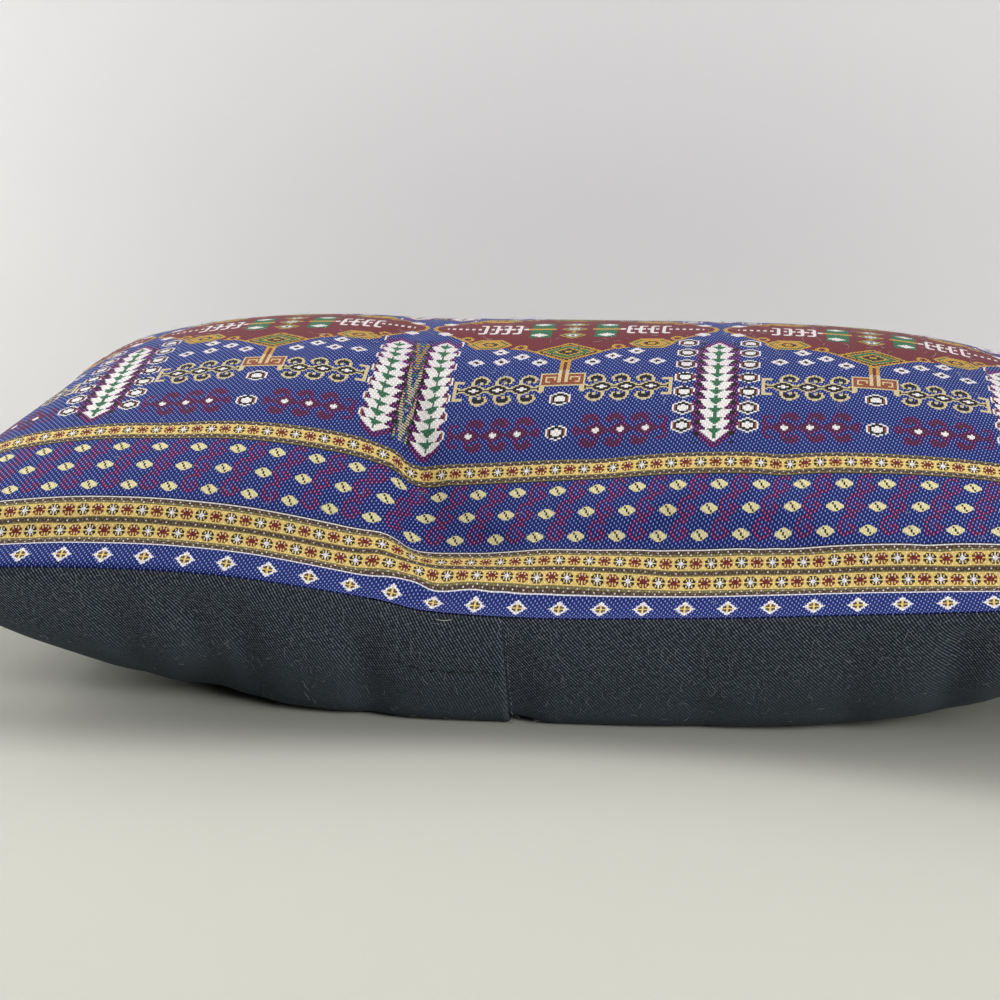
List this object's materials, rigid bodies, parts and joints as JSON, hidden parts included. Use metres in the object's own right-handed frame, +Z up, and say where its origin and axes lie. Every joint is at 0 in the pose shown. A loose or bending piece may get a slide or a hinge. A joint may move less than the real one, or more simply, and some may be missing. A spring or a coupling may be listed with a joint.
{
  "type": "cushion",
  "caption": "Filled rectangular lumbar cushion lying on its back, with a bordered carpet-pattern front panel, a deep fold in its face and a plain back with a lapped closure.",
  "frame": {"origin": "centre of the bounding box at the surface that the cushion lies on", "axes": "+X along the long side, +Y away from the near long seam, +Z up out of the patterned face"},
  "size_m": [0.5, 0.2999, 0.1196],
  "materials": {
    "patterned_jacquard": "multicolour jacquard weave with a blue twill ground, slightly raised figures",
    "charcoal_twill": "matt steep twill"
  },
  "bodies": {
    "root": {"front_panel_filled": "patterned_jacquard", "back_panel_left": "charcoal_twill", "back_panel_right": "charcoal_twill"}
  },
  "joints": []
}
